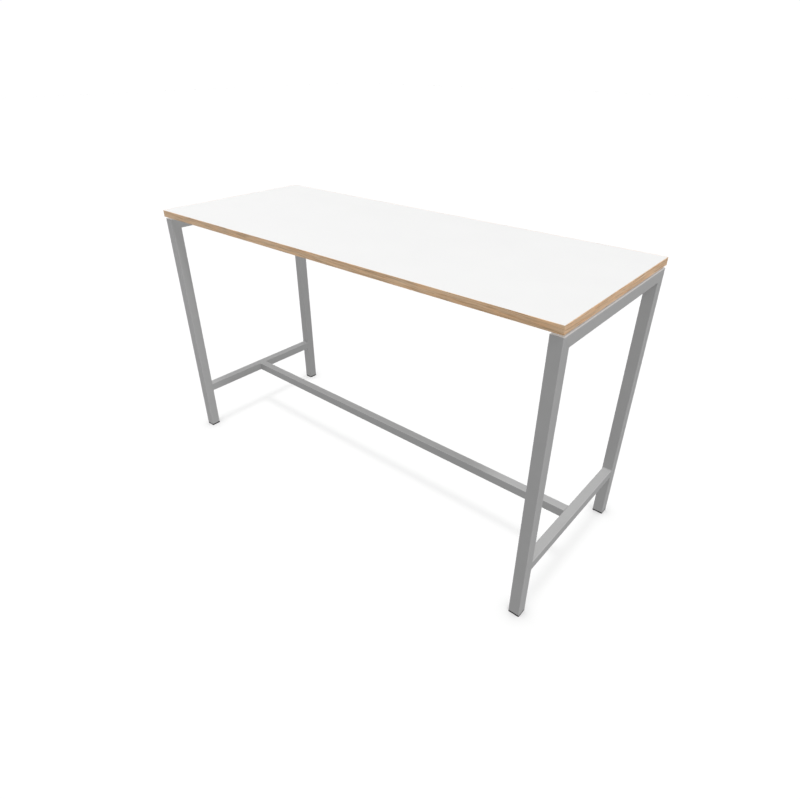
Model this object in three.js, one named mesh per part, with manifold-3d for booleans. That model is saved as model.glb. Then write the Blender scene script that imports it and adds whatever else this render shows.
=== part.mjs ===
// Standing meeting table: a white board with oak edge bands on two welded end frames of square tube.
// A low foot rail and a beam under the board join the frames, and four levelling feet carry them.
// Millimetres, +Z up. The origin is on the floor under the middle of the board, and X runs along its length.
import * as THREE from "three";
import { mergeVertices } from "three/addons/utils/BufferGeometryUtils.js";
import Module from "manifold-3d";

const wasm = await Module();
wasm.setup();

// Overall size
const tableLength = 1800;
const tableDepth = 706;
const tableHeight = 1050;

// Board
const boardThickness = 25;
const laminateThickness = 0.8;
const bandThickness = 2;
const bandArris = 1;
const bandCorner = 1.5;
const glueLine = 0.1;

// Square tube of the legs and of the rails that they carry
const legSide = 40;
const legWall = 2;
const legCorner = 2.5;

// Square tube of the cross rails, the foot rail and the beam
const railSide = 35;
const railWall = 2;
const railCorner = 2;

// Corner inside either tube
const boreCorner = 0.5;

// Frame layout
const boardOverhang = 5;
const boardGap = 8;
const crossRailCentre = 202.5;
const weldGap = 0.1;

// Spigots inside the ends of the foot rail and the beam, and their locking screws
const spigotLength = 70;
const spigotChamfer = 1.5;
const lockShank = 14;

// Screws up through the frame into the board
const screwDiameter = 6;
const screwHeadDiameter = 11;
const screwHeadHeight = 3.6;
const screwCrownDiameter = 6.8;
const screwShoulderDiameter = 9.9;
const screwShoulderHeight = 2.2;
const socketAcross = 4;
const socketDepth = 2.2;
const screwLead = 1;
const screwReach = 12;
const spacerDiameter = 22;
const insertDiameter = 10;
const insertLength = 13;
const railFixingInset = 110;
const beamFixingSpread = 960;

// Levelling feet
const footHeight = 6;
const footChamfer = 0.6;
const padFloor = 1.6;
const padLip = 1.2;
const studDiameter = 10;
const studLength = 54;
const studLead = 1.25;
const studHeadDiameter = 18;
const hexAcross = 14;
const hexHeight = 5;
const plugHeight = 32;
const plugFloor = 3;
const plugWall = 2.2;
const plugBossDiameter = 17;
const plugCorner = 2;
const plugChamfer = 1;

// Clearances: round a piece that slides or turns, and under a piece that is clamped
const slipFit = 0.3;
const seatGap = 0.1;

// Roundness of the meshes
const cornerSteps = 2;
const screwSides = 16;
const studSides = 20;
const mergeDistance = 1e-4;

// Places that follow from the sizes above
const ends = { left: -1, right: 1 };
const sides = { front: -1, rear: 1 };
const boardBottom = tableHeight - boardThickness;
const frameTop = boardBottom - boardGap;
const frameDepth = tableDepth - 2 * boardOverhang;
const legX = (tableLength - legSide) / 2;
const legY = (frameDepth - legSide) / 2;
const legBottom = footHeight + slipFit;
const upperRailCentre = frameTop - legSide / 2;
const beamCentre = frameTop - railSide / 2;
const railFixings = Object.values(sides).map((side) => side * (frameDepth / 2 - railFixingInset));
const beamFixings = Object.values(ends).map((end) => (end * beamFixingSpread) / 2);

const finishes = {
  white: { color: 0xf4f4f3, roughness: 0.42, metalness: 0 },
  backer: { color: 0xe9e8e4, roughness: 0.6, metalness: 0 },
  core: { color: 0xb79c78, roughness: 0.9, metalness: 0 },
  oak: { color: 0xbc9a74, roughness: 0.55, metalness: 0 },
  grey: { color: 0x9b9c9e, roughness: 0.48, metalness: 0.4 },
  zinc: { color: 0xb9bcc0, roughness: 0.35, metalness: 0.9 },
  brass: { color: 0xb08d4a, roughness: 0.4, metalness: 0.9 },
  black: { color: 0x1d1d1e, roughness: 0.6, metalness: 0 },
};

// One named piece of the table
function piece(name, finish, geometry) {
  const mesh = new THREE.Mesh(geometry, new THREE.MeshStandardMaterial(finishes[finish]));
  mesh.name = name;
  return mesh;
}

// Joining and cutting of solids
function solid(geometry) {
  const bare = geometry.index ? geometry.toNonIndexed() : geometry.clone();
  bare.deleteAttribute("normal");
  bare.deleteAttribute("uv");
  const merged = mergeVertices(bare, mergeDistance);
  const vertProperties = merged.attributes.position.array;
  const triVerts = new Uint32Array(merged.index.array);
  return new wasm.Manifold(new wasm.Mesh({ numProp: 3, vertProperties, triVerts }));
}

function meshed(manifold) {
  const { vertProperties, triVerts } = manifold.getMesh();
  const geometry = new THREE.BufferGeometry();
  geometry.setAttribute("position", new THREE.BufferAttribute(vertProperties, 3));
  geometry.setIndex(new THREE.BufferAttribute(triVerts, 1));
  geometry.computeVertexNormals();
  return geometry;
}

function cut(geometry, tools) {
  return meshed(tools.reduce((left, tool) => left.subtract(solid(tool)), solid(geometry)));
}

function joined(geometry, other) {
  return meshed(solid(geometry).add(solid(other)));
}

// A round bar along Z, from one height to another
function roundBar(radius, from, to, facets) {
  const rod = new THREE.CylinderGeometry(radius, radius, to - from, facets);
  return rod.rotateX(Math.PI / 2).translate(0, 0, (from + to) / 2);
}

// A hexagonal bar along Z, by its width across the flats
function hexBar(across, from, to) {
  return roundBar(across / Math.sqrt(3), from, to, 6);
}

// A turned piece: a profile of [radius, height] pairs, spun about Z
function turned(profile, facets) {
  const points = profile.map(([radius, height]) => new THREE.Vector2(radius, height));
  return new THREE.LatheGeometry(points, facets).rotateX(Math.PI / 2);
}

// A turned ring, such as a spacer or a bush
function ring(outer, inner, from, to) {
  const section = [[inner, from], [outer, from], [outer, to], [inner, to], [inner, from]];
  return turned(section, screwSides);
}

// A square outline with round corners
function roundedSquare(side, corner, Outline = THREE.Shape) {
  const flat = side / 2 - corner;
  const quarter = Math.PI / 2;
  const outline = new Outline();
  [[1, 1], [-1, 1], [-1, -1], [1, -1]].forEach(([x, y], turn) => {
    outline.absarc(x * flat, y * flat, corner, turn * quarter, (turn + 1) * quarter);
  });
  outline.closePath();
  return outline;
}

// A rounded square bar standing on height 0, with both end edges chamfered
function squareBar(side, corner, length, chamfer) {
  const bevelled = new THREE.ExtrudeGeometry(roundedSquare(side, corner), {
    depth: length - 2 * chamfer,
    curveSegments: cornerSteps,
    bevelThickness: chamfer,
    bevelSize: chamfer,
    bevelOffset: -chamfer,
    bevelSegments: 1,
  });
  return bevelled.translate(0, 0, chamfer);
}

// Hollow square tube along Z, whose end planes may slope in Y: a slope of 1 or -1 is a mitre
function squareTube(side, wall, corner, length, startSlope = 0, endSlope = 0) {
  const section = roundedSquare(side, corner);
  section.holes.push(roundedSquare(side - 2 * wall, boreCorner, THREE.Path));
  const tube = new THREE.ExtrudeGeometry(section, {
    depth: length,
    curveSegments: cornerSteps,
    bevelEnabled: false,
  });
  const points = tube.attributes.position;
  for (let i = 0; i < points.count; i++) {
    const slope = points.getZ(i) > length / 2 ? endSlope : startSlope;
    points.setZ(i, points.getZ(i) + slope * points.getY(i));
  }
  tube.computeVertexNormals();
  return tube;
}

// What was made along Z is laid along Y from a starting point, and its section's +Y then faces down
function laidAlongY(mesh, x, y, z) {
  mesh.rotation.x = -Math.PI / 2;
  mesh.position.set(x, y, z);
  return mesh;
}

// A screw's hole along a section's Y, at a distance along the piece
function crossBore(along, from, to) {
  const radius = screwDiameter / 2 + slipFit;
  const hole = new THREE.CylinderGeometry(radius, radius, to - from, screwSides);
  return hole.translate(0, (from + to) / 2, along);
}

// Button-head screw pointing up: its head hangs below height 0, with a hexagon socket
function socketScrew(shank) {
  const radius = screwDiameter / 2;
  const profile = [
    [0, -screwHeadHeight],
    [screwCrownDiameter / 2, -screwHeadHeight],
    [screwShoulderDiameter / 2, -screwShoulderHeight],
    [screwHeadDiameter / 2, 0],
    [radius, 0],
    [radius, shank - screwLead],
    [radius - screwLead, shank],
    [0, shank],
  ];
  const socket = hexBar(socketAcross, -2 * screwHeadHeight, socketDepth - screwHeadHeight);
  return cut(turned(profile, screwSides), [socket]);
}

// Board: a core between two laminates, with a band glued along each edge
function makeBoard() {
  const board = new THREE.Group();
  board.position.z = boardBottom;
  const faceLength = tableLength - 2 * (bandThickness + glueLine);
  const faceDepth = tableDepth - 2 * (bandThickness + glueLine);
  const coreThickness = boardThickness - 2 * (laminateThickness + glueLine);
  const holeRadius = insertDiameter / 2 + slipFit;
  const holeDepth = Math.max(insertLength, screwReach) + 2 * slipFit;
  const holes = [];
  for (const y of railFixings) {
    holes.push([-legX, y], [legX, y]);
  }
  for (const x of beamFixings) {
    holes.push([x, 0]);
  }

  const surface = new THREE.BoxGeometry(faceLength, faceDepth, laminateThickness);
  surface.translate(0, 0, boardThickness - laminateThickness / 2);
  board.add(piece("tabletop_surface", "white", surface));

  const blank = new THREE.BoxGeometry(faceLength, faceDepth, coreThickness);
  blank.translate(0, 0, boardThickness / 2);
  const drills = holes.map(([x, y]) => roundBar(holeRadius, 0, holeDepth, screwSides).translate(x, y, 0));
  board.add(piece("tabletop_core", "core", cut(blank, drills)));

  const backer = new THREE.BoxGeometry(faceLength, faceDepth, laminateThickness);
  backer.translate(0, 0, laminateThickness / 2);
  const punches = drills.map((drill) => drill.clone().translate(0, 0, -holeDepth / 2));
  board.add(piece("tabletop_backer", "backer", cut(backer, punches)));

  ["front", "right", "rear", "left"].forEach((name, turn) => {
    const long = name === "front" || name === "rear";
    const length = long ? tableLength : faceDepth;
    const outward = (long ? tableDepth : tableLength) / 2;
    const band = piece(`edge_band_${name}`, "oak", edgeBand(length, long));
    band.rotation.y = Math.PI / 2;
    band.position.set(-length / 2, -outward, 0);
    const edge = new THREE.Group();
    edge.rotation.z = (turn * Math.PI) / 2;
    edge.add(band);
    board.add(edge);
  });
  return board;
}

// Band section: -X runs up the board's edge and +Y runs into the board. Its two outer arrises are eased,
// and a long band, which covers the ends of the short ones, is also rounded at the board's corners
function edgeBand(length, long) {
  const section = new THREE.Shape();
  section.moveTo(0, bandThickness);
  section.lineTo(-boardThickness, bandThickness);
  section.absarc(-boardThickness + bandArris, bandArris, bandArris, Math.PI, 1.5 * Math.PI);
  section.absarc(-bandArris, bandArris, bandArris, 1.5 * Math.PI, 2 * Math.PI);
  section.closePath();
  const band = new THREE.ExtrudeGeometry(section, {
    depth: length,
    curveSegments: cornerSteps,
    bevelEnabled: false,
  });
  if (!long) {
    return band;
  }
  const start = cornerCutter(bandCorner, boardThickness).rotateY(-Math.PI / 2);
  const end = cornerCutter(bandCorner, boardThickness).rotateY(Math.PI / 2).translate(0, 0, length);
  return cut(band, [start, end]);
}

// What rounding takes off a corner at X 0 and Y 0, along Z, reaching past a height either way
function cornerCutter(radius, height) {
  const section = new THREE.Shape();
  section.moveTo(-radius, -radius);
  section.lineTo(radius, -radius);
  section.absarc(radius, radius, radius, 1.5 * Math.PI, Math.PI, true);
  section.lineTo(-radius, radius);
  section.closePath();
  const cutter = new THREE.ExtrudeGeometry(section, {
    depth: 4 * height,
    curveSegments: cornerSteps,
    bevelEnabled: false,
  });
  return cutter.translate(0, 0, -2 * height);
}

// End frame: two legs mitred to an upper rail, and a cross rail welded between the legs
function makeEndFrame(end) {
  const frame = new THREE.Group();
  frame.position.x = ends[end] * legX;
  const mitreTrim = weldGap * Math.SQRT1_2;
  const legLength = upperRailCentre - legBottom - mitreTrim;
  for (const [side, y] of Object.entries(sides)) {
    const leg = piece(`leg_${side}_${end}`, "grey", squareTube(legSide, legWall, legCorner, legLength, 0, y));
    leg.position.set(0, y * legY, legBottom);
    frame.add(leg);
  }

  const upperReach = legY - mitreTrim;
  const upperTube = squareTube(legSide, legWall, legCorner, 2 * upperReach, 1, -1);
  const screwHoles = railFixings.map((y) => crossBore(upperReach + y, -legSide, legSide));
  const upperRail = piece(`upper_rail_${end}`, "grey", cut(upperTube, screwHoles));
  frame.add(laidAlongY(upperRail, 0, -upperReach, upperRailCentre));

  const crossReach = legY - legSide / 2 - weldGap;
  const crossTube = squareTube(railSide, railWall, railCorner, 2 * crossReach);
  const crossRail = piece(`cross_rail_${end}`, "grey", crossTube);
  frame.add(laidAlongY(crossRail, 0, -crossReach, crossRailCentre));
  return frame;
}

// Long rail between two tubes of the end frames, on a spigot with a locking screw at each end
function makeLongRail(name, carrierSide, centre, fixings) {
  const along = new THREE.Group();
  along.rotation.z = -Math.PI / 2;
  along.position.z = centre;
  const reach = legX - carrierSide / 2 - weldGap;
  const lockPlace = spigotLength / 2;
  const under = railSide / 2 + seatGap;
  const lockHoles = [lockPlace, 2 * reach - lockPlace].map((place) => crossBore(place, 0, railSide));
  const screwHoles = fixings.map((x) => crossBore(reach + x, -railSide, railSide));
  const tube = squareTube(railSide, railWall, railCorner, 2 * reach);
  const rail = piece(name, "grey", cut(tube, [...lockHoles, ...screwHoles]));
  along.add(laidAlongY(rail, 0, -reach, 0));

  const spigotSide = railSide - 2 * (railWall + slipFit);
  const tapped = crossBore(lockPlace, under - lockShank - slipFit, railSide);
  for (const [end, sign] of Object.entries(ends)) {
    const blank = squareBar(spigotSide, railCorner, spigotLength, spigotChamfer);
    const spigot = piece(`${name}_spigot_${end}`, "grey", cut(blank, [tapped]));
    along.add(laidAlongY(spigot, 0, sign * (reach - lockPlace) - lockPlace, 0));
    const screw = piece(`${name}_lock_screw_${end}`, "zinc", socketScrew(lockShank));
    screw.position.set(0, sign * (reach - lockPlace), -under);
    along.add(screw);
  }
  return along;
}

// Fixing of the board to a tube: a screw through the tube and a spacer, into an insert in the board
function makeFixing(name, x, y, tubeSide) {
  const fixing = new THREE.Group();
  fixing.position.set(x, y, frameTop);
  const bore = screwDiameter / 2 + slipFit;
  const spacer = ring(spacerDiameter / 2, bore, seatGap, boardGap - seatGap);
  fixing.add(piece(`board_spacer_${name}`, "black", spacer));
  const insert = ring(insertDiameter / 2, bore, boardGap + slipFit, boardGap + insertLength);
  fixing.add(piece(`board_insert_${name}`, "brass", insert));
  const head = -tubeSide - seatGap;
  const screw = piece(`board_screw_${name}`, "zinc", socketScrew(boardGap + screwReach - head));
  screw.position.z = head;
  fixing.add(screw);
  return fixing;
}

// Levelling foot: a plug in the leg's end, and a pad whose stud screws into the plug
function makeFoot(side, end) {
  const foot = new THREE.Group();
  foot.position.set(ends[end] * legX, sides[side] * legY, 0);
  foot.add(piece(`foot_pad_${side}_${end}`, "black", footPad()));
  foot.add(piece(`foot_stud_${side}_${end}`, "zinc", footStud()));
  const plug = piece(`leg_plug_${side}_${end}`, "black", legPlug());
  plug.position.z = legBottom;
  foot.add(plug);
  return foot;
}

// Square pad with a socket that holds the stud's head down under a lip
function footPad() {
  const socketRadius = studHeadDiameter / 2 + slipFit;
  const mouthRadius = studDiameter / 2 + 2 * slipFit;
  const lipHeight = footHeight - padLip;
  const socket = [
    [0, padFloor],
    [socketRadius, padFloor],
    [socketRadius, lipHeight],
    [mouthRadius, lipHeight],
    [mouthRadius, 2 * footHeight],
    [0, 2 * footHeight],
  ];
  const block = squareBar(legSide, legCorner, footHeight, footChamfer);
  return cut(block, [turned(socket, studSides)]);
}

// Stud with a flat head, a hexagon for a spanner and a lead at its tip
function footStud() {
  const radius = studDiameter / 2;
  const top = footHeight + studLength;
  const headRadius = studHeadDiameter / 2;
  const headTop = footHeight - padLip - seatGap;
  const profile = [
    [0, padFloor + seatGap],
    [headRadius, padFloor + seatGap],
    [headRadius, headTop],
    [radius, headTop],
    [radius, top - studLead],
    [radius - studLead, top],
    [0, top],
  ];
  return joined(turned(profile, studSides), hexBar(hexAcross, legBottom, legBottom + hexHeight));
}

// Moulded plug: a wall and four webs round a threaded boss, with a recess below for the stud's hexagon
function legPlug() {
  const side = legSide - 2 * (legWall + slipFit);
  const recess = hexHeight + slipFit;
  const floor = recess + plugFloor;
  const pocketSide = (side - 3 * plugWall) / 2;
  const pocketCentre = (pocketSide + plugWall) / 2;
  const pockets = [[1, 1], [-1, 1], [-1, -1], [1, -1]].map(([x, y]) => {
    const pocket = new THREE.BoxGeometry(pocketSide, pocketSide, plugHeight);
    return pocket.translate(x * pocketCentre, y * pocketCentre, floor + plugHeight / 2);
  });
  const shell = cut(squareBar(side, plugCorner, plugHeight, plugChamfer), pockets);
  const bossed = joined(shell, roundBar(plugBossDiameter / 2, floor / 2, plugHeight, studSides));
  const thread = roundBar(studDiameter / 2 + slipFit, -plugHeight, 2 * plugHeight, studSides);
  const hexRoom = roundBar(hexAcross / Math.sqrt(3) + 2 * slipFit, -plugHeight, recess, studSides);
  return cut(bossed, [thread, hexRoom]);
}

const table = new THREE.Group();
table.add(makeBoard());
table.add(makeLongRail("foot_rail", railSide, crossRailCentre, []));
table.add(makeLongRail("top_beam", legSide, beamCentre, beamFixings));
for (const end of Object.keys(ends)) {
  table.add(makeEndFrame(end));
  for (const side of Object.keys(sides)) {
    table.add(makeFoot(side, end));
    const y = railFixings[Object.keys(sides).indexOf(side)];
    table.add(makeFixing(`${side}_${end}`, ends[end] * legX, y, legSide));
  }
  table.add(makeFixing(`beam_${end}`, (ends[end] * beamFixingSpread) / 2, 0, railSide));
}

export default table;
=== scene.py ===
import math

import bmesh
import bpy
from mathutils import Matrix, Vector


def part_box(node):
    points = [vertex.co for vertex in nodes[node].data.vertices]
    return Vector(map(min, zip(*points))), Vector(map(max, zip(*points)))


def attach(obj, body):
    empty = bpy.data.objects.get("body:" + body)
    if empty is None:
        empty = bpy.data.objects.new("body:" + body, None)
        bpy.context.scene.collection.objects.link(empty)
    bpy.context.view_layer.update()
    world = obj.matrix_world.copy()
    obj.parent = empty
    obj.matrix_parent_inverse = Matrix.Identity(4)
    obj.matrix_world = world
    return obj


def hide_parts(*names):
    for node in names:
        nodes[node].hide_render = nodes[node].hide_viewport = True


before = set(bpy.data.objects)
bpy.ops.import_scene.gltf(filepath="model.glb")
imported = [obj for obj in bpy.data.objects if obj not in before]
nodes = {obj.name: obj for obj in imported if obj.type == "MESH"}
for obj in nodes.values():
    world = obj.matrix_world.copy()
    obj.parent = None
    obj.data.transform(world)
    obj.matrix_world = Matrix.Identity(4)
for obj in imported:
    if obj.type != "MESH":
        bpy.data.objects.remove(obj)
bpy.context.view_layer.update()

mm = 0.001
near = 1e-6  # points closer than this are one point
hair = 1e-7  # a distance that counts as nothing
aligned = 0.99  # the share of a direction that has to lie along an axis
ends = {"left": -1, "right": 1}
sides = {"front": -1, "rear": 1}
bpy.ops.object.select_all(action="DESELECT")
print("frame loaded:", len(nodes), "nodes")


def onlySelect(piece):
    bpy.ops.object.select_all(action="DESELECT")
    piece.select_set(True)
    bpy.context.view_layer.objects.active = piece


def edit(piece):
    onlySelect(piece)
    bpy.ops.object.mode_set(mode="EDIT")


def done():
    bpy.ops.object.mode_set(mode="OBJECT")


def facedOut():  # turns every face outward, as the last step in edit mode
    bpy.ops.mesh.select_all(action="SELECT")
    bpy.ops.mesh.normals_make_consistent(inside=False)
    done()


def settle(name):  # the place and size of what was just added go into its mesh
    bpy.ops.object.transform_apply(location=True, rotation=True, scale=True)
    piece = bpy.context.object
    piece.name = piece.data.name = name
    return piece


def boxPiece(name, low, high):
    bpy.ops.object.select_all(action="DESELECT")
    bpy.ops.mesh.primitive_cube_add(size=1, location=(low + high) / 2, scale=high - low)
    return settle(name)


def rodPiece(name, radius, middle, length, around=32):
    bpy.ops.object.select_all(action="DESELECT")
    bpy.ops.mesh.primitive_cylinder_add(
        vertices=around, radius=radius, depth=length, location=middle)
    return settle(name)


def pick(piece, kind, test):  # selects faces, edges or points of the piece in edit mode by their place
    bpy.ops.mesh.select_mode(type=kind)
    bpy.ops.mesh.select_all(action="DESELECT")
    shape = bmesh.from_edit_mesh(piece.data)
    shape.normal_update()
    for part in {"FACE": shape.faces, "EDGE": shape.edges, "VERT": shape.verts}[kind]:
        if test(part):
            part.select_set(True)
    shape.select_flush_mode()
    bmesh.update_edit_mesh(piece.data)


def runsAlong(edge, axis):
    return abs((edge.verts[0].co - edge.verts[1].co).normalized()[axis]) > aligned


def edgeMiddle(edge):
    return (edge.verts[0].co + edge.verts[1].co) / 2


def applied(piece, kind, **settings):
    onlySelect(piece)
    modifier = piece.modifiers.new("step", kind)
    for key, value in settings.items():
        setattr(modifier, key, value)
    bpy.ops.object.modifier_apply(modifier="step")


def drilled(piece, cutter):
    applied(piece, "BOOLEAN", operation="DIFFERENCE", solver="EXACT", object=cutter)
    bpy.data.objects.remove(cutter)


def fused(piece, other):
    applied(piece, "BOOLEAN", operation="UNION", solver="EXACT", object=other)
    bpy.data.objects.remove(other)


def smoothed(piece, degrees=32):
    onlySelect(piece)
    bpy.ops.object.shade_smooth_by_angle(angle=math.radians(degrees))
    applied(piece, "WEIGHTED_NORMAL", keep_sharp=True)


def copied(piece, name, shift=(0, 0, 0), turn=0):  # a copy with its own mesh, turned about the table's middle
    onlySelect(piece)
    bpy.ops.object.duplicate(linked=False)
    twin = bpy.context.object
    twin.rotation_euler.z = math.radians(turn)
    twin.location = shift
    return settle(name)


def drawnLine(profile):  # a line through (radius, height) points, left open in edit mode
    bpy.ops.object.select_all(action="DESELECT")
    bpy.ops.mesh.primitive_plane_add(size=mm)
    bpy.ops.object.mode_set(mode="EDIT")
    bpy.ops.mesh.select_mode(type="VERT")
    bpy.ops.mesh.select_all(action="SELECT")
    bpy.ops.mesh.merge(type="CENTER")
    here = Vector((0, 0, 0))
    for step, (radius, height) in enumerate(profile):
        there = Vector((radius, 0, height))
        if step:
            bpy.ops.mesh.extrude_vertices_move(TRANSFORM_OT_translate={"value": there - here})
        else:
            bpy.ops.transform.translate(value=there)
        here = there


def spun(name, profile, steps):  # the profile turned once about Z
    drawnLine(profile)
    bpy.ops.mesh.select_all(action="SELECT")
    bpy.ops.mesh.spin(steps=steps, angle=2 * math.pi, center=(0, 0, 0), axis=(0, 0, 1))
    bpy.ops.mesh.select_all(action="SELECT")
    bpy.ops.mesh.remove_doubles(threshold=near)
    bpy.ops.mesh.dissolve_degenerate(threshold=hair)
    facedOut()
    return settle(name)


thread = {"runIn": 2.17, "spareTurns": 4, "crest": (0.44, 0.56)}  # in turns, and in shares of the pitch


def threadedRod(name, radius, pitch, depth, bottom, top, steps):  # one ridge, wound up and cut to length
    start = bottom - thread["runIn"] * pitch
    root = radius - depth
    crestStart, crestEnd = thread["crest"]
    drawnLine([(root, start), (radius, start + crestStart * pitch), (radius, start + crestEnd * pitch),
               (root, start + pitch)])
    done()
    rod = bpy.context.object
    turns = math.ceil((top - bottom) / pitch) + thread["spareTurns"]
    applied(rod, "SCREW", angle=2 * math.pi, screw_offset=pitch, iterations=turns, steps=steps,
            render_steps=steps, axis="Z", use_merge_vertices=True, merge_threshold=near)
    edit(rod)
    bpy.ops.mesh.select_all(action="SELECT")
    bpy.ops.mesh.remove_doubles(threshold=near)
    for height, up in ((bottom, -1), (top, 1)):
        bpy.ops.mesh.select_all(action="SELECT")
        bpy.ops.mesh.bisect(plane_co=(0, 0, height), plane_no=(0, 0, up), clear_outer=True, threshold=hair)
        pick(rod, "EDGE", lambda e: e.is_boundary and abs(edgeMiddle(e).z - height) < hair)
        bpy.ops.mesh.edge_face_add()
    facedOut()
    return settle(name)


def carried(piece, body, slot, material, *stoodFor):
    piece.data.materials.clear()
    piece.data.materials.append(material)
    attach(piece, body)
    if stoodFor:
        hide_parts(*stoodFor)


def dressed(nodeName, material):
    nodes[nodeName].material_slots[0].material = material


def newGroup(name, inputs, outputs):
    group = bpy.data.node_groups.new(name, "ShaderNodeTree")
    for label, kind, value in inputs:
        socket = group.interface.new_socket(name=label, in_out="INPUT", socket_type=kind)
        if value is not None:
            socket.default_value = value
    for label, kind in outputs:
        group.interface.new_socket(name=label, in_out="OUTPUT", socket_type=kind)
    return group, group.nodes.new("NodeGroupInput"), group.nodes.new("NodeGroupOutput")


def put(tree, kind, links=(), **settings):  # each input gets a value or another node's output
    node = tree.nodes.new(kind)
    for key, value in settings.items():
        setattr(node, key, value)
    for socket, source in links:
        if isinstance(source, bpy.types.NodeSocket):
            tree.links.new(source, node.inputs[socket])
        else:
            node.inputs[socket].default_value = source
    return node


def newMaterial(name, finish):  # a Principled surface on the piece's own coordinates
    material = bpy.data.materials.new(name)
    material.use_nodes = True
    tree = material.node_tree
    tree.nodes.clear()
    surface = put(tree, "ShaderNodeBsdfPrincipled")
    for socket, value in finish.items():
        surface.inputs[socket].default_value = value
    out = put(tree, "ShaderNodeOutputMaterial")
    tree.links.new(surface.outputs["BSDF"], out.inputs["Surface"])
    place = put(tree, "ShaderNodeTexCoord").outputs["Object"]
    return material, tree, surface, place


def grouped(tree, group, links):
    return put(tree, "ShaderNodeGroup", links, node_tree=group)


def bumped(tree, surface, height, strength, distance):
    bump = put(tree, "ShaderNodeBump", [("Strength", strength), ("Distance", distance), ("Height", height)])
    tree.links.new(bump.outputs["Normal"], surface.inputs["Normal"])


# Cloudy variation of tone or gloss, from 0 to 1 about a middle of 0.5
mottle, mottleIn, mottleOut = newGroup(
    "surfaceMottle",
    [("Vector", "NodeSocketVector", None), ("Scale", "NodeSocketFloat", 20.0),
     ("Detail", "NodeSocketFloat", 4.0)],
    [("Mask", "NodeSocketFloat")])
cloud = put(mottle, "ShaderNodeTexNoise", [
    ("Vector", mottleIn.outputs["Vector"]), ("Scale", mottleIn.outputs["Scale"]),
    ("Detail", mottleIn.outputs["Detail"]), ("Roughness", 0.62)])
cloudRange = put(mottle, "ShaderNodeMapRange", [
    ("Value", cloud.outputs["Fac"]), ("From Min", 0.28), ("From Max", 0.72)])
mottle.links.new(cloudRange.outputs["Result"], mottleOut.inputs["Mask"])

# Rounded skin of a coat or a moulding: soft dimples, with finer grain over them
skin, skinIn, skinOut = newGroup(
    "coatedSkin",
    [("Vector", "NodeSocketVector", None), ("Dimples", "NodeSocketFloat", 500.0),
     ("Grain", "NodeSocketFloat", 3000.0), ("Grain Share", "NodeSocketFloat", 0.3)],
    [("Height", "NodeSocketFloat")])
dimple = put(skin, "ShaderNodeTexVoronoi", [
    ("Vector", skinIn.outputs["Vector"]), ("Scale", skinIn.outputs["Dimples"]), ("Smoothness", 1.0)],
    feature="SMOOTH_F1")
sand = put(skin, "ShaderNodeTexNoise", [
    ("Vector", skinIn.outputs["Vector"]), ("Scale", skinIn.outputs["Grain"]), ("Detail", 2.0)])
blend = put(skin, "ShaderNodeMix", [
    ("Factor", skinIn.outputs["Grain Share"]), ("A", dimple.outputs["Distance"]),
    ("B", sand.outputs["Fac"])])
skin.links.new(blend.outputs["Result"], skinOut.inputs["Height"])

# Fine marks of wiping and handling, long and faint, that only change the gloss
wipes, wipesIn, wipesOut = newGroup(
    "wipeMarks",
    [("Vector", "NodeSocketVector", None), ("Scale", "NodeSocketFloat", 6.0)],
    [("Mask", "NodeSocketFloat")])
swirl = put(wipes, "ShaderNodeMapping", [
    ("Vector", wipesIn.outputs["Vector"]), ("Rotation", (0, 0, 0.5)), ("Scale", (1, 9, 1))])
smear = put(wipes, "ShaderNodeTexNoise", [
    ("Vector", swirl.outputs["Vector"]), ("Scale", wipesIn.outputs["Scale"]), ("Detail", 6.0),
    ("Roughness", 0.7), ("Distortion", 1.2)])
faint = put(wipes, "ShaderNodeMapRange", [
    ("Value", smear.outputs["Fac"]), ("From Min", 0.45), ("From Max", 0.75)])
wipes.links.new(faint.outputs["Result"], wipesOut.inputs["Mask"])

# Oak figure along X: growth rings that slant and wander, darker streaks, and short pores
oak, oakIn, oakOut = newGroup(
    "oakFigure",
    [("Vector", "NodeSocketVector", None), ("Slant", "NodeSocketFloat", 0.05)],
    [("Tone", "NodeSocketFloat"), ("Warmth", "NodeSocketFloat"), ("Streaks", "NodeSocketFloat"),
     ("Pores", "NodeSocketFloat"), ("Rings", "NodeSocketFloat")])
split = put(oak, "ShaderNodeSeparateXYZ", [("Vector", oakIn.outputs["Vector"])])
drift = put(oak, "ShaderNodeTexNoise", [("W", split.outputs["X"]), ("Scale", 3.2), ("Detail", 2.0)],
            noise_dimensions="1D")
bow = put(oak, "ShaderNodeMath", [(0, drift.outputs["Fac"]), (1, 0.022)], operation="MULTIPLY")
lean = put(oak, "ShaderNodeMath", [(0, split.outputs["X"]), (1, oakIn.outputs["Slant"])],
           operation="MULTIPLY")
leaning = put(oak, "ShaderNodeMath", [(0, split.outputs["Z"]), (1, lean.outputs[0])], operation="ADD")
acrossGrain = put(oak, "ShaderNodeMath", [(0, leaning.outputs[0]), (1, bow.outputs[0])], operation="ADD")
grainPlace = put(oak, "ShaderNodeCombineXYZ", [
    ("X", split.outputs["X"]), ("Y", split.outputs["Y"]), ("Z", acrossGrain.outputs[0])])


def stretched(scale, detail, roughness, distortion=0.0):  # noise drawn out along the grain
    place = put(oak, "ShaderNodeMapping", [("Vector", grainPlace.outputs[0]), ("Scale", scale)])
    return put(oak, "ShaderNodeTexNoise", [
        ("Vector", place.outputs[0]), ("Scale", 1.0), ("Detail", detail), ("Roughness", roughness),
        ("Distortion", distortion)]).outputs["Fac"]


def spreadOut(value, low, high):
    return put(oak, "ShaderNodeMapRange", [
        ("Value", value), ("From Min", low), ("From Max", high)]).outputs["Result"]


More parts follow.
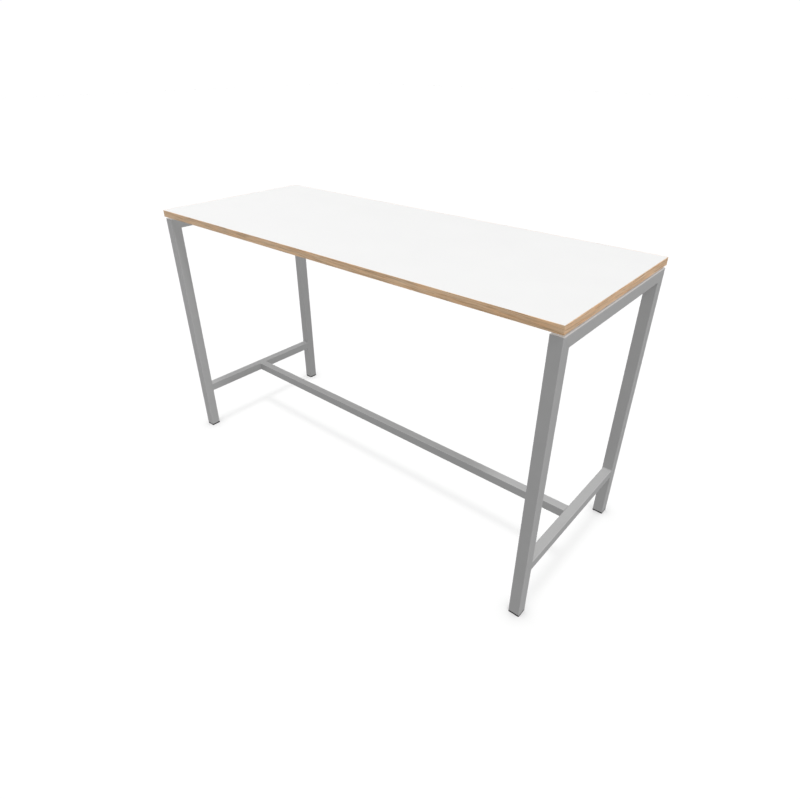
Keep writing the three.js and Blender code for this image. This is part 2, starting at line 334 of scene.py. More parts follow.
ringNoise = stretched((5.5, 20, 400), 5.0, 0.62, 0.25)
zoneNoise = stretched((6.0, 8, 75), 3.0, 0.55)
warmNoise = stretched((16, 20, 130), 2.0, 0.5)
streakNoise = stretched((11, 12, 270), 4.0, 0.6, 0.3)
poreNoise = stretched((70, 300, 1900), 2.0, 0.5)
poreBand = put(oak, "ShaderNodeMath", [(0, spreadOut(poreNoise, 0.56, 0.7)), (1, ringNoise)],
               operation="MULTIPLY")
mixTone = put(oak, "ShaderNodeMix", [("Factor", 0.34), ("A", ringNoise), ("B", zoneNoise)])
oak.links.new(spreadOut(mixTone.outputs["Result"], 0.36, 0.64), oakOut.inputs["Tone"])
oak.links.new(spreadOut(warmNoise, 0.34, 0.66), oakOut.inputs["Warmth"])
oak.links.new(spreadOut(streakNoise, 0.52, 0.66), oakOut.inputs["Streaks"])
oak.links.new(poreBand.outputs[0], oakOut.inputs["Pores"])
oak.links.new(ringNoise, oakOut.inputs["Rings"])
print("shared effects made")


def opaque(colour):
    return (*colour, 1)


def mixedColour(tree, factor, first, second, blend="MIX"):
    firstIn, secondIn, mixedOut = 6, 7, 2  # the Mix node's sockets for colours
    mix = put(tree, "ShaderNodeMix", [("Factor", factor), (firstIn, first), (secondIn, second)],
              data_type="RGBA", blend_type=blend)
    return mix.outputs[mixedOut]


def between(tree, mask, low, high):
    return put(tree, "ShaderNodeMapRange", [
        ("Value", mask), ("To Min", low), ("To Max", high)]).outputs["Result"]


def coatedMaterial(name, look, finish):  # mottled tone and gloss over a dimpled skin
    material, tree, surface, place = newMaterial(name, finish)
    patch = grouped(tree, mottle, [("Vector", place), ("Scale", look["patches"])])
    speck = grouped(tree, mottle, [("Vector", place), ("Scale", look["specks"]), ("Detail", 1.0)])
    both = put(tree, "ShaderNodeMix", [
        ("Factor", look["speckShare"]), ("A", patch.outputs["Mask"]), ("B", speck.outputs["Mask"])])
    colour = mixedColour(tree, both.outputs["Result"], opaque(look["dark"]), opaque(look["light"]))
    tree.links.new(colour, surface.inputs["Base Color"])
    marks = grouped(tree, wipes, [("Vector", place), ("Scale", look["wipes"])])
    gloss = put(tree, "ShaderNodeMix", [
        ("Factor", look["wipeShare"]), ("A", patch.outputs["Mask"]), ("B", marks.outputs["Mask"])])
    tree.links.new(between(tree, gloss.outputs["Result"], *look["gloss"]), surface.inputs["Roughness"])
    height = grouped(tree, skin, [
        ("Vector", place), ("Dimples", look["dimples"]), ("Grain", look["grain"]),
        ("Grain Share", look["grainShare"])])
    bumped(tree, surface, height.outputs["Height"], look["bump"], look["bumpHeight"])
    return material


def oakMaterial(name, look, turn):  # oak edging, with its figure turned to run along the edge
    material, tree, surface, place = newMaterial(name, {"Specular IOR Level": 0.4})
    along = put(tree, "ShaderNodeMapping", [
        ("Vector", place), ("Rotation", (0, 0, math.radians(turn))), ("Location", look["start"])])
    figure = grouped(tree, oak, [("Vector", along.outputs["Vector"]), ("Slant", look["slant"])])
    ramp = put(tree, "ShaderNodeValToRGB", [("Fac", figure.outputs["Tone"])])
    stops = ramp.color_ramp.elements
    stops[0].color, stops[1].color = opaque(look["dark"]), opaque(look["light"])
    stops.new(0.5).color = opaque(look["middle"])
    streaked = mixedColour(
        tree, figure.outputs["Streaks"], ramp.outputs["Color"], opaque(look["streak"]), "MULTIPLY")
    pored = mixedColour(tree, figure.outputs["Pores"], streaked, opaque(look["pore"]), "MULTIPLY")
    warmth = mixedColour(tree, figure.outputs["Warmth"], opaque(look["greyer"]), opaque(look["pinker"]))
    tinted = mixedColour(tree, 1.0, pored, warmth, "MULTIPLY")
    tree.links.new(tinted, surface.inputs["Base Color"])
    tree.links.new(between(tree, figure.outputs["Rings"], *look["gloss"]), surface.inputs["Roughness"])
    relief = put(tree, "ShaderNodeMath", [(0, figure.outputs["Rings"]), (1, figure.outputs["Pores"])],
                 operation="SUBTRACT")
    bumped(tree, surface, relief.outputs[0], look["bump"], look["bumpHeight"])
    return material


def metalMaterial(name, look, finish):  # plated or turned metal with fine lines round its axis
    material, tree, surface, place = newMaterial(name, finish)
    patch = grouped(tree, mottle, [("Vector", place), ("Scale", look["patches"])])
    colour = mixedColour(tree, patch.outputs["Mask"], opaque(look["dark"]), opaque(look["light"]))
    tree.links.new(colour, surface.inputs["Base Color"])
    tree.links.new(between(tree, patch.outputs["Mask"], *look["gloss"]), surface.inputs["Roughness"])
    lines = put(tree, "ShaderNodeMapping", [("Vector", place), ("Scale", look["lines"])])
    height = grouped(tree, mottle, [("Vector", lines.outputs["Vector"]), ("Scale", 1.0), ("Detail", 3.0)])
    bumped(tree, surface, height.outputs["Mask"], look["bump"], look["bumpHeight"])
    return material


def chipMaterial(name, look):  # pressed chips of several browns
    material, tree, surface, place = newMaterial(name, {})
    flat = put(tree, "ShaderNodeMapping", [("Vector", place), ("Scale", look["flattening"])])
    chip = put(tree, "ShaderNodeTexVoronoi", [("Vector", flat.outputs["Vector"]), ("Scale", look["chips"])])
    shade = put(tree, "ShaderNodeSeparateColor", [("Color", chip.outputs["Color"])])
    colour = mixedColour(tree, shade.outputs["Red"], opaque(look["dark"]), opaque(look["light"]))
    tree.links.new(colour, surface.inputs["Base Color"])
    tree.links.new(between(tree, shade.outputs["Green"], *look["gloss"]), surface.inputs["Roughness"])
    bumped(tree, surface, chip.outputs["Distance"], look["bump"], look["bumpHeight"])
    return material


whiteLaminate = coatedMaterial("whiteLaminate", {
    "dark": (0.742, 0.742, 0.74), "light": (0.756, 0.756, 0.754),
    "patches": 7, "specks": 900, "speckShare": 0.35, "gloss": (0.48, 0.6), "wipes": 3, "wipeShare": 0.5,
    "dimples": 900, "grain": 3500, "grainShare": 0.35, "bump": 0.12, "bumpHeight": 0.05 * mm},
    {"Specular IOR Level": 0.14})
backerLaminate = coatedMaterial("backerLaminate", {
    "dark": (0.63, 0.62, 0.59), "light": (0.69, 0.68, 0.65),
    "patches": 9, "specks": 700, "speckShare": 0.4, "gloss": (0.5, 0.62), "wipes": 4, "wipeShare": 0.4,
    "dimples": 700, "grain": 3000, "grainShare": 0.4, "bump": 0.15, "bumpHeight": 0.06 * mm},
    {"Specular IOR Level": 0.4})
satinGrey = coatedMaterial("satinGrey", {
    "dark": (0.35, 0.35, 0.35), "light": (0.387, 0.387, 0.387),
    "patches": 14, "specks": 2600, "speckShare": 0.6, "gloss": (0.38, 0.5), "wipes": 8, "wipeShare": 0.35,
    "dimples": 620, "grain": 2800, "grainShare": 0.25, "bump": 0.22, "bumpHeight": 0.09 * mm},
    {"Specular IOR Level": 0.5})
blackMoulding = coatedMaterial("blackMoulding", {
    "dark": (0.005, 0.005, 0.0054), "light": (0.01, 0.01, 0.0105),
    "patches": 60, "specks": 2400, "speckShare": 0.5, "gloss": (0.5, 0.66), "wipes": 30, "wipeShare": 0.4,
    "dimples": 1500, "grain": 5200, "grainShare": 0.5, "bump": 0.35, "bumpHeight": 0.06 * mm},
    {"Specular IOR Level": 0.2})
oakLook = {
    "dark": (0.462, 0.302, 0.173), "middle": (0.657, 0.448, 0.27), "light": (0.786, 0.567, 0.363),
    "streak": (0.64, 0.62, 0.59), "pore": (0.62, 0.55, 0.48),
    "greyer": (0.95, 1.0, 1.07), "pinker": (1.06, 0.99, 0.93), "gloss": (0.46, 0.6),
    "bump": 0.3, "bumpHeight": 0.12 * mm, "slant": 0.028, "start": (0, 0, 0)}
oakLong = oakMaterial("oakEdgeLong", oakLook, 0)
oakShort = oakMaterial("oakEdgeShort", {
    **oakLook, "start": (3.1, 0.4, 0.2), "slant": -0.022,
    "greyer": (0.95, 0.99, 1.08), "pinker": (1.055, 0.98, 0.945)}, 90)
zincPlate = metalMaterial("zincPlate", {
    "dark": (0.5, 0.51, 0.53), "light": (0.66, 0.67, 0.69), "patches": 160, "gloss": (0.26, 0.42),
    "lines": (500, 500, 2600), "bump": 0.12, "bumpHeight": 0.03 * mm}, {"Metallic": 1.0})
brassTurned = metalMaterial("brassTurned", {
    "dark": (0.5, 0.35, 0.13), "light": (0.66, 0.49, 0.21), "patches": 200, "gloss": (0.25, 0.4),
    "lines": (400, 400, 3200), "bump": 0.15, "bumpHeight": 0.03 * mm}, {"Metallic": 1.0})
chipboard = chipMaterial("chipboard", {
    "dark": (0.3, 0.2, 0.11), "light": (0.62, 0.47, 0.3), "gloss": (0.8, 0.95), "chips": 320,
    "flattening": (1, 1, 3.5), "bump": 0.5, "bumpHeight": 0.4 * mm})
print("finishes made")


# Frame tubes, with smooth round corners and a real wall

legTube = {"corner": 2.5 * mm, "wall": 2 * mm, "rounds": 6}
railTube = {"corner": 2 * mm, "wall": 2 * mm, "rounds": 6}
screwHole = {"radius": 3.3 * mm, "throughTube": 200 * mm, "throughWall": 20 * mm}


def tubePiece(name, low, high, along, size):
    tube = boxPiece(name, low, high)
    edit(tube)
    pick(tube, "FACE", lambda f: abs(f.normal[along]) > aligned)
    bpy.ops.mesh.delete(type="ONLY_FACE")
    pick(tube, "EDGE", lambda e: runsAlong(e, along))
    bpy.ops.mesh.bevel(offset=size["corner"], segments=size["rounds"], affect="EDGES")
    done()
    applied(tube, "SOLIDIFY", thickness=size["wall"], offset=-1, use_even_offset=True)
    return tube


def cutAt(tube, place, normal):  # what lies past the plane is cut off, and the wall's end closed
    edit(tube)
    bpy.ops.mesh.select_all(action="SELECT")
    bpy.ops.mesh.bisect(plane_co=place, plane_no=normal, clear_outer=True, threshold=hair)
    pick(tube, "EDGE", lambda e: e.is_boundary)
    bpy.ops.mesh.bridge_edge_loops()
    facedOut()


legLow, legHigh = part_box("leg_front_left")
upperLow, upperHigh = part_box("upper_rail_left")
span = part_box("leg_front_right")[0].x - legLow.x
mitreMiddle = Vector((
    (legLow.x + legHigh.x) / 2, (legLow.y + legHigh.y) / 2, (upperLow.z + upperHigh.z) / 2))
seam = Vector((0, 0.05 * mm, 0.05 * mm))  # half of the gap at the mitre


def fourOf(name, piece):  # the front left piece, and its copies at the other three corners
    corners = {("front", "left"): piece}
    corners["rear", "right"] = copied(piece, name + "_rear_right", turn=180)
    corners["front", "right"] = copied(piece, name + "_front_right", shift=(span, 0, 0))
    corners["rear", "left"] = copied(corners["rear", "right"], name + "_rear_left", shift=(-span, 0, 0))
    return corners


leg = tubePiece("leg_tube_front_left", legLow, Vector((legHigh.x, legHigh.y, upperHigh.z)), 2, legTube)
cutAt(leg, mitreMiddle - seam, (0, 1, 1))
smoothed(leg)
for (side, end), tube in fourOf("leg_tube", leg).items():
    carried(tube, "table", "grey_frame", satinGrey, f"leg_{side}_{end}")

upper = tubePiece("upper_tube_left", Vector((upperLow.x, legLow.y, upperLow.z)),
                  Vector((upperHigh.x, -legLow.y, upperHigh.z)), 1, legTube)
cutAt(upper, mitreMiddle + seam, (0, -1, -1))
cutAt(upper, Vector((mitreMiddle.x, -mitreMiddle.y - seam.y, mitreMiddle.z + seam.z)), (0, 1, -1))
for side in sides:
    low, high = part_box(f"board_screw_{side}_left")
    drilled(upper, rodPiece("drill", screwHole["radius"], (low + high) / 2, screwHole["throughTube"]))
smoothed(upper)
upperRight = copied(upper, "upper_tube_right", turn=180)
carried(upper, "table", "grey_frame", satinGrey, "upper_rail_left")
carried(upperRight, "table", "grey_frame", satinGrey, "upper_rail_right")

cross = tubePiece("cross_tube_left", *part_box("cross_rail_left"), 1, railTube)
smoothed(cross)
crossRight = copied(cross, "cross_tube_right", turn=180)
carried(cross, "table", "grey_frame", satinGrey, "cross_rail_left")
carried(crossRight, "table", "grey_frame", satinGrey, "cross_rail_right")

for node in ("foot_rail", "top_beam"):
    low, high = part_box(node)
    rail = tubePiece(node + "_tube", low, high, 0, railTube)
    for end in ends:
        lockLow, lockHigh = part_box(f"{node}_lock_screw_{end}")
        middle = (lockLow + lockHigh) / 2
        drilled(rail, rodPiece("drill", screwHole["radius"], Vector((middle.x, middle.y, low.z)),
                               screwHole["throughWall"]))
        if node == "top_beam":
            screwLow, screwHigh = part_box(f"board_screw_beam_{end}")
            drilled(rail, rodPiece("drill", screwHole["radius"], (screwLow + screwHigh) / 2,
                                   screwHole["throughTube"]))
    smoothed(rail)
    carried(rail, "table", "grey_frame", satinGrey, node)
for node in nodes:
    if "_spigot_" in node:
        dressed(node, satinGrey)
print("frame tubes made")


# Edge bands: the long ones' corners are rounded first, then the outer arrises are eased

edgeBands = {"arris": 0.5 * mm, "arrisRounds": 4, "corner": 1.5 * mm, "cornerRounds": 5}


def bandPiece(name, low, high, outward, long):
    across = 1 if long else 0
    inner, outer = (high[across], low[across]) if outward < 0 else (low[across], high[across])
    band = boxPiece(name, low, high)
    edit(band)
    if long:
        pick(band, "EDGE", lambda e: runsAlong(e, 2) and abs(edgeMiddle(e)[across] - outer) < near)
        bpy.ops.mesh.bevel(offset=edgeBands["corner"], segments=edgeBands["cornerRounds"], affect="EDGES")

    def outerArris(e):
        level = any(all(abs(v.co.z - height) < hair for v in e.verts) for height in (low.z, high.z))
        if long:
            return level and not all(abs(v.co[across] - inner) < hair for v in e.verts)
        return level and abs(edgeMiddle(e)[across] - outer) < near

    pick(band, "EDGE", outerArris)
    bpy.ops.mesh.bevel(offset=edgeBands["arris"], segments=edgeBands["arrisRounds"], affect="EDGES")
    done()
    smoothed(band, degrees=40)
    return band


for name, outward, long in (
        ("front", -1, True), ("rear", 1, True), ("left", -1, False), ("right", 1, False)):
    low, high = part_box(f"edge_band_{name}")
    band = bandPiece(f"oak_band_{name}", low, high, outward, long)
    carried(band, "table", "oak_edge", oakLong if long else oakShort, f"edge_band_{name}")
dressed("tabletop_surface", whiteLaminate)
dressed("tabletop_backer", backerLaminate)
dressed("tabletop_core", chipboard)
print("edge bands made")


# Weld beads: a ring round each end of the cross rails, and a run in the corner under each upper rail
welds = {"ring": 2 * mm, "run": 2.6 * mm, "runLength": 33 * mm, "loops": 12, "spacing": 1.5 * mm,
         "ripple": 0.93, "endTaper": 0.5, "cornerRounds": 3, "around": 24}


def ringBead(name, low, high, face):  # a round bead that follows the rail's outline on the face of the leg
    half = (high.x - low.x) / 2
    middle = Vector(((low.x + high.x) / 2, face, (low.z + high.z) / 2))
    bpy.ops.object.select_all(action="DESELECT")
    bpy.ops.mesh.primitive_plane_add(size=2 * half, location=middle, rotation=(math.radians(90), 0, 0))
    bead = settle(name)
    edit(bead)
    bpy.ops.mesh.select_all(action="SELECT")
    bpy.ops.mesh.bevel(offset=railTube["corner"], segments=welds["cornerRounds"], affect="VERTICES")
    pick(bead, "EDGE", lambda e: e.calc_length() > half)
    bpy.ops.mesh.subdivide(number_cuts=round(2 * half / welds["spacing"]))
    bpy.ops.mesh.select_all(action="SELECT")
    bpy.ops.mesh.delete(type="ONLY_FACE")
    bpy.ops.mesh.select_mode(type="EDGE")
    bpy.ops.mesh.select_all(action="SELECT")
    out, forth = 0, 0
    for loop in range(welds["loops"]):  # the outline is carried round the bead's circle
        turn = 2 * math.pi * loop / welds["loops"]
        newOut, newForth = welds["ring"] * math.cos(turn), welds["ring"] * math.sin(turn)
        grow = (half + newOut) / (half + out)
        if loop:
            bpy.ops.mesh.extrude_edges_move(TRANSFORM_OT_translate={"value": (0, newForth - forth, 0)})
        bpy.ops.transform.resize(value=(grow, 1, grow), center_override=middle)
        out, forth = newOut, newForth
    pick(bead, "EDGE", lambda e: e.is_boundary)
    bpy.ops.mesh.bridge_edge_loops()
    facedOut()
    edit(bead)
    pick(bead, "VERT", lambda v: round((v.co.x + v.co.z) / welds["spacing"]) % 2 == 0)
    bpy.ops.transform.shrink_fatten(value=welds["ring"] * (welds["ripple"] - 1))
    done()
    applied(bead, "SUBSURF", levels=1, render_levels=1)
    smoothed(bead, degrees=60)
    return bead


def cornerBead(name, middle, length):  # a run along X, rippled ring by ring, with its ends drawn in
    bpy.ops.object.select_all(action="DESELECT")
    bpy.ops.mesh.primitive_cylinder_add(
        vertices=welds["around"], radius=welds["run"], depth=length, location=middle,
        rotation=(0, math.radians(90), 0), end_fill_type="NGON")
    bead = settle(name)
    edit(bead)
    pick(bead, "EDGE", lambda e: runsAlong(e, 0))
    cuts = round(length / welds["spacing"])
    bpy.ops.mesh.subdivide(number_cuts=cuts)
    pitch = length / (cuts + 1)
    pick(bead, "VERT", lambda v: round((v.co.x - middle.x) / pitch + 0.5) % 2 == 0)
    bpy.ops.transform.resize(value=(1, welds["ripple"], welds["ripple"]), center_override=middle)
    pick(bead, "VERT", lambda v: abs(v.co.x - middle.x) > length / 2 - 0.5 * pitch)
    bpy.ops.transform.resize(value=(1, welds["endTaper"], welds["endTaper"]), center_override=middle)
    done()
    applied(bead, "SUBSURF", levels=1, render_levels=1)
    smoothed(bead, degrees=60)
    return bead


crossWeld = ringBead("cross_weld_front_left", *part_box("cross_rail_left"), legHigh.y)
cornerWeld = cornerBead("corner_weld_front_left", Vector((mitreMiddle.x, legHigh.y, upperLow.z)),
                        welds["runLength"])
for name, bead in (("cross_weld", crossWeld), ("corner_weld", cornerWeld)):
    for weld in fourOf(name, bead).values():
        carried(weld, "table", "grey_frame", satinGrey)
print("weld beads made")


# Foot pads: square mouldings with eased edges, a tread on the underside and a socket for the stud's head
footPad = {"side": 40 * mm, "height": 6 * mm, "corner": 2.5 * mm, "cornerRounds": 6,
           "easing": 0.35 * mm, "easingRounds": 3, "floor": 1.6 * mm, "lip": 1.2 * mm,
           "socket": 9.3 * mm, "mouth": 5.6 * mm, "rim": 4 * mm, "tread": 0.4 * mm, "around": 48}
padHalf = footPad["side"] / 2
pad = boxPiece("padPattern", Vector((-padHalf, -padHalf, 0)), Vector((padHalf, padHalf, footPad["height"])))
edit(pad)
pick(pad, "EDGE", lambda e: runsAlong(e, 2))
bpy.ops.mesh.bevel(offset=footPad["corner"], segments=footPad["cornerRounds"], affect="EDGES")
pick(pad, "EDGE", lambda e: abs(e.verts[0].co.z - e.verts[1].co.z) < hair)
bpy.ops.mesh.bevel(offset=footPad["easing"], segments=footPad["easingRounds"], affect="EDGES")
pick(pad, "FACE", lambda f: f.normal.z < -aligned)
reach = padHalf
for inward in (footPad["rim"], footPad["rim"] + footPad["tread"]):  # drawn in twice: a rim, then a slope
    shrink = (padHalf - inward) / reach
    bpy.ops.mesh.extrude_region_move()
    bpy.ops.transform.resize(value=(shrink, shrink, 1), center_override=(0, 0, 0))
    reach = padHalf - inward
bpy.ops.transform.translate(value=(0, 0, footPad["tread"]))
done()
lipHeight = footPad["height"] - footPad["lip"]
drilled(pad, spun("padSocket", [
    (0, footPad["floor"]), (footPad["socket"], footPad["floor"]), (footPad["socket"], lipHeight),
    (footPad["mouth"], lipHeight), (footPad["mouth"], 2 * footPad["height"]),
    (0, 2 * footPad["height"])], footPad["around"]))
smoothed(pad, degrees=40)

# Studs: a flat head that turns in the pad, a hexagon for a spanner and a thread with a lead at its tip
footStud = {"headRadius": 9 * mm, "headBottom": 1.7 * mm, "headTop": 4.7 * mm, "easing": 0.4 * mm,
            "neck": 4.6 * mm, "hexAcross": 14 * mm, "hexBottom": 6.3 * mm, "hexTop": 11.3 * mm,
            "neckSunk": 1 * mm, "threadSunk": 2 * mm,  # how far each runs into the hexagon
            "radius": 5 * mm, "pitch": 1.5 * mm, "depth": 0.92 * mm, "top": 60 * mm, "lead": 1.25 * mm,
            "around": 48, "threadSteps": 32}
stud = threadedRod("studPattern", footStud["radius"], footStud["pitch"], footStud["depth"],
                   footStud["hexTop"] - footStud["threadSunk"], footStud["top"], footStud["threadSteps"])
hexagon = rodPiece("studHexagon", footStud["hexAcross"] / math.sqrt(3),
                   Vector((0, 0, (footStud["hexBottom"] + footStud["hexTop"]) / 2)),
                   footStud["hexTop"] - footStud["hexBottom"], 6)
edit(hexagon)
pick(hexagon, "EDGE", lambda e: not runsAlong(e, 2))
bpy.ops.mesh.bevel(offset=footStud["easing"], segments=2, affect="EDGES")
done()
fused(stud, hexagon)
neckTop = footStud["hexBottom"] + footStud["neckSunk"]
fused(stud, spun("studHead", [
    (0, footStud["headBottom"]), (footStud["headRadius"] - footStud["easing"], footStud["headBottom"]),
    (footStud["headRadius"], footStud["headBottom"] + footStud["easing"]),
    (footStud["headRadius"], footStud["headTop"] - footStud["easing"]),
    (footStud["headRadius"] - footStud["easing"], footStud["headTop"]),
    (footStud["neck"], footStud["headTop"]), (footStud["neck"], neckTop), (0, neckTop)],
    footStud["around"]))


def tipped(rod, radius, lead, top, around=64):  # the thread's end is turned down to a cone
    wide = 5 * radius  # clear of the head
    cone = spun("lead", [(0, -wide), (wide, -wide), (wide, top - lead - wide + radius),
                         (radius - lead, top), (0, top)], around)
    applied(rod, "BOOLEAN", operation="INTERSECT", solver="EXACT", object=cone)
    bpy.data.objects.remove(cone)


tipped(stud, footStud["radius"], footStud["lead"], footStud["top"])
smoothed(stud, degrees=35)
for side in sides:
    for end in ends:
        low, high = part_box(f"foot_pad_{side}_{end}")
        place = Vector(((low.x + high.x) / 2, (low.y + high.y) / 2, low.z))
        foot = copied(pad, f"pad_moulding_{side}_{end}", shift=place)
        carried(foot, f"foot_{side}_{end}", "black_plastic", blackMoulding, f"foot_pad_{side}_{end}")
        screwed = copied(stud, f"stud_threaded_{side}_{end}", shift=place)
        carried(screwed, f"stud_{side}_{end}", "zinc", zincPlate, f"foot_stud_{side}_{end}")
        dressed(f"leg_plug_{side}_{end}", blackMoulding)
bpy.data.objects.remove(pad)
bpy.data.objects.remove(stud)
print("feet made")


# Button-head screws with a hexagon socket: the shank is plain as far as the threaded length
buttonScrew = {"headRadius": 5.5 * mm, "headHeight": 3.6 * mm, "crown": 3.4 * mm, "domeSteps": 8,
               "radius": 3 * mm, "pitch": 1 * mm, "depth": 0.61 * mm, "threaded": 24 * mm, "lead": 1 * mm,
               "shank": 2.96 * mm, "leastShank": 1 * mm, "overlap": 0.5 * mm,
               "core": 2.2 * mm, "runOut": 0.8 * mm, "coreReach": 3 * mm,  # past the shank, inside the thread
               "socketAcross": 4 * mm, "socketDepth": 2.2 * mm, "socketEasing": 0.35 * mm,
               "cutterReach": 1 * mm, "around": 40, "threadSteps": 24}


def screwPattern(name, length):
    size = buttonScrew
    top, reach, easing = size["headHeight"], size["cutterReach"], size["socketEasing"]
    plain = max(length - size["threaded"], size["leastShank"])
    screw = threadedRod(name, size["radius"], size["pitch"], size["depth"],
                        plain - size["overlap"], length, size["threadSteps"])
    dome = []
    for step in range(size["domeSteps"] + 1):
        turn = math.pi / 2 * step / size["domeSteps"]
        dome.append((size["crown"] + (size["headRadius"] - size["crown"]) * math.sin(turn),
                     -top * math.cos(turn)))
    fused(screw, spun("screwHead", [
        (0, -top), *dome, (size["shank"], 0), (size["shank"], plain),
        (size["core"], plain + size["runOut"]), (size["core"], plain + size["coreReach"]),
        (0, plain + size["coreReach"])], size["around"]))
    tipped(screw, size["radius"], size["lead"], length)
    mouth = size["socketAcross"] / math.sqrt(3)
    drilled(screw, rodPiece("socket", mouth, Vector((0, 0, size["socketDepth"] / 2 - top - reach)),
                            size["socketDepth"] + 2 * reach, 6))
    drilled(screw, spun("socketEasing", [
        (0, -top - reach), (mouth + reach, -top - reach), (mouth - easing, -top + easing),
        (0, -top + easing)], size["around"]))
    smoothed(screw, degrees=35)
    return screw


screwKinds = {"lock_screw": [n for n in nodes if "_lock_screw_" in n],
              "beam_screw": [n for n in nodes if n.startswith("board_screw_beam")],
              "rail_screw": [n for n in nodes if n.startswith("board_screw_") and "beam" not in n]}
for kind, places in screwKinds.items():
    low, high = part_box(places[0])
    pattern = screwPattern(kind, high.z - low.z - buttonScrew["headHeight"])
    for node in places:
        low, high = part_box(node)
        middle = (low + high) / 2
        screw = copied(pattern, node + "_threaded",
                       shift=(middle.x, middle.y, low.z + buttonScrew["headHeight"]))
        carried(screw, "table", "zinc", zincPlate, node)
    bpy.data.objects.remove(pattern)

# Spacers between frame and board, each a turned ring with eased rims
spacerRing = {"outer": 11 * mm, "bore": 3.3 * mm, "easing": 0.6 * mm, "roundness": 0.3, "around": 56}
low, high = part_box("board_spacer_front_left")
tall = high.z - low.z
outer, bore, easing = spacerRing["outer"], spacerRing["bore"], spacerRing["easing"]
inset = spacerRing["roundness"] * easing
pattern = spun("spacerPattern", [
    (bore, 0), (outer - easing, 0), (outer - inset, inset), (outer, easing), (outer, tall - easing),
    (outer - inset, tall - inset), (outer - easing, tall), (bore, tall), (bore, 0)], spacerRing["around"])
smoothed(pattern, degrees=50)
for node in nodes:
    if node.startswith("board_spacer_"):
        low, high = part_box(node)
        middle = (low + high) / 2
        spacer = copied(pattern, node + "_ring", shift=(middle.x, middle.y, low.z))
        carried(spacer, "table", "black_plastic", blackMoulding, node)
    if node.startswith("board_insert_"):
        dressed(node, brassTurned)
bpy.data.objects.remove(pattern)
print("screws and spacers made")


# Studio: a pale paper floor, a soft room that is brighter above and on the left, and six lamps
studio = {"floorSize": 60, "floorTone": 0.1, "floorGlow": 0.308, "room": 0.333, "roomTop": 0.1,
          "roomLeft": 1.23, "leftFocus": 4.0, "backdrop": 1.02}
lamps = {"key": {"from": (0.49, -0.1, 1), "strength": 1.25, "spread": 10},
         "fill": {"from": (0.595, -0.353, 0.722), "strength": 1.883, "spread": 60},
         "rails": {"from": (0, 0, 1), "strength": 4.4, "spread": 16},
         "feet": {"from": (0, 0, 1), "strength": 16.5, "spread": 120},
         "bounce": {"from": (0, 0, -1), "strength": 1.1, "spread": 12},
         "gap": {"from": (0, 0, 1), "strength": 1.26, "spread": 28, "tint": (1, 0.85, 0.76)}}
bpy.ops.object.select_all(action="DESELECT")
bpy.ops.mesh.primitive_plane_add(size=studio["floorSize"])
floor = settle("studio_floor")
paper, paperTree, paperSurface = newMaterial("palePaper", {
    "Base Color": opaque((studio["floorTone"],) * 3), "Roughness": 1.0, "Specular IOR Level": 0.0,
    "Emission Color": (1, 1, 1, 1), "Emission Strength": studio["floorGlow"]})[:3]
below = put(paperTree, "ShaderNodeNewGeometry")  # seen from below, the floor lets the underside through
clear = put(paperTree, "ShaderNodeBsdfTransparent")
oneSided = put(paperTree, "ShaderNodeMixShader", [
    (0, below.outputs["Backfacing"]), (1, paperSurface.outputs["BSDF"]), (2, clear.outputs["BSDF"])])
paperOut = [n for n in paperTree.nodes if n.type == "OUTPUT_MATERIAL"][0]
paperTree.links.new(oneSided.outputs["Shader"], paperOut.inputs["Surface"])
floor.data.materials.append(paper)
floor.visible_diffuse = floor.visible_glossy = False  # its light on the table comes from the bounce lamp
for side in sides:  # the floor stays under the lowest foot, however far each one is screwed out
    for end in ends:
        under = floor.constraints.new("FLOOR")
        under.target = bpy.data.objects[f"pad_moulding_{side}_{end}"]
        under.floor_location = "FLOOR_NEGATIVE_Z"

world = bpy.data.worlds.new("softRoom")
bpy.context.scene.world = world
world.use_nodes = True
world.cycles.sampling_method = "NONE"  # with linked lamps, a sampled world comes out in two brightnesses
sky = world.node_tree
sky.nodes.clear()
direction = put(sky, "ShaderNodeTexCoord").outputs["Generated"]
where = put(sky, "ShaderNodeSeparateXYZ", [("Vector", direction)])
up = put(sky, "ShaderNodeMath", [(0, where.outputs["Z"]), (1, 0.0)], operation="MAXIMUM")
above = put(sky, "ShaderNodeMath", [(0, up.outputs[0]), (1, studio["roomTop"]), (2, studio["room"])],
            operation="MULTIPLY_ADD")
leftward = put(sky, "ShaderNodeMath", [(0, where.outputs["X"]), (1, 0.0)], operation="MINIMUM")
leftLobe = put(sky, "ShaderNodeMath", [(0, leftward.outputs[0]), (1, studio["leftFocus"])], operation="POWER")
roomGlow = put(sky, "ShaderNodeMath", [
    (0, leftLobe.outputs[0]), (1, studio["roomLeft"]), (2, above.outputs[0])], operation="MULTIPLY_ADD")
ray = put(sky, "ShaderNodeLightPath")
seen = put(sky, "ShaderNodeMix", [
    ("Factor", ray.outputs["Is Camera Ray"]), ("A", roomGlow.outputs[0]), ("B", studio["backdrop"])])
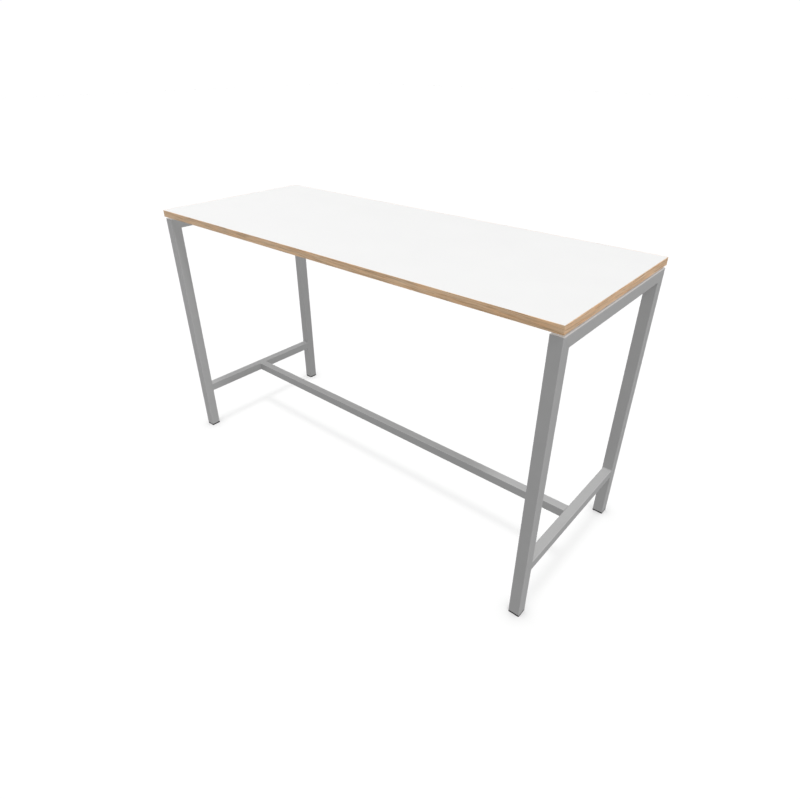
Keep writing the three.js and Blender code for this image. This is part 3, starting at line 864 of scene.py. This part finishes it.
glow = put(sky, "ShaderNodeBackground", [("Color", (1, 1, 1, 1)), ("Strength", seen.outputs["Result"])])
put(sky, "ShaderNodeOutputWorld", [("Surface", glow.outputs["Background"])])


def sunLamp(name, lit=None, shading=None):  # lights and is shaded by chosen pieces alone
    bpy.ops.object.light_add(type="SUN", location=lamps[name]["from"])
    lamp = bpy.context.object
    lamp.name = name + "_lamp"
    lamp.rotation_euler = Vector(lamps[name]["from"]).to_track_quat("Z", "Y").to_euler()
    lamp.data.energy = lamps[name]["strength"]
    lamp.data.color = lamps[name].get("tint", (1, 1, 1))
    lamp.data.angle = math.radians(lamps[name]["spread"])
    lamp.data.cycles.use_multiple_importance_sampling = False  # so that only the chosen pieces shade it
    for label, chosen in (("receiver", lit), ("blocker", shading)):
        if chosen:
            linked = bpy.data.collections.new(f"{name}_{label}")
            for piece in chosen:
                linked.objects.link(piece)
            setattr(lamp.light_linking, label + "_collection", linked)


pieces = [o for o in bpy.context.scene.objects if o.type == "MESH" and o is not floor]
lowFrame = [o for o in pieces if o.name.startswith(("leg_tube", "cross_", "foot_rail", "pad_"))]
footPieces = [o for o in pieces if o.name.startswith(("pad_", "leg_plug_"))]
sunLamp("key", lit=pieces)
sunLamp("fill", lit=pieces, shading=[floor])
sunLamp("bounce", lit=pieces, shading=pieces)
sunLamp("rails", lit=[floor], shading=lowFrame)
sunLamp("feet", lit=[floor], shading=footPieces)
sunLamp("gap", lit=[upper, upperRight], shading=[floor])

view = {"place": (1.4085, -1.5446, 1.5961), "yaw": 130.63, "pitch": -31.25, "focalPixels": 568.2,
        "picturePixels": 800, "sensor": 36}
bpy.ops.object.camera_add(location=view["place"],
                          rotation=(math.radians(90 + view["pitch"]), 0, math.radians(view["yaw"] - 90)))
camera = bpy.context.object
camera.name = "photo_camera"
camera.data.sensor_width = view["sensor"]
camera.data.lens = view["sensor"] * view["focalPixels"] / view["picturePixels"]
bpy.context.scene.camera = camera
bpy.context.scene.view_settings.view_transform = "Standard"
print("floor, light and camera set")
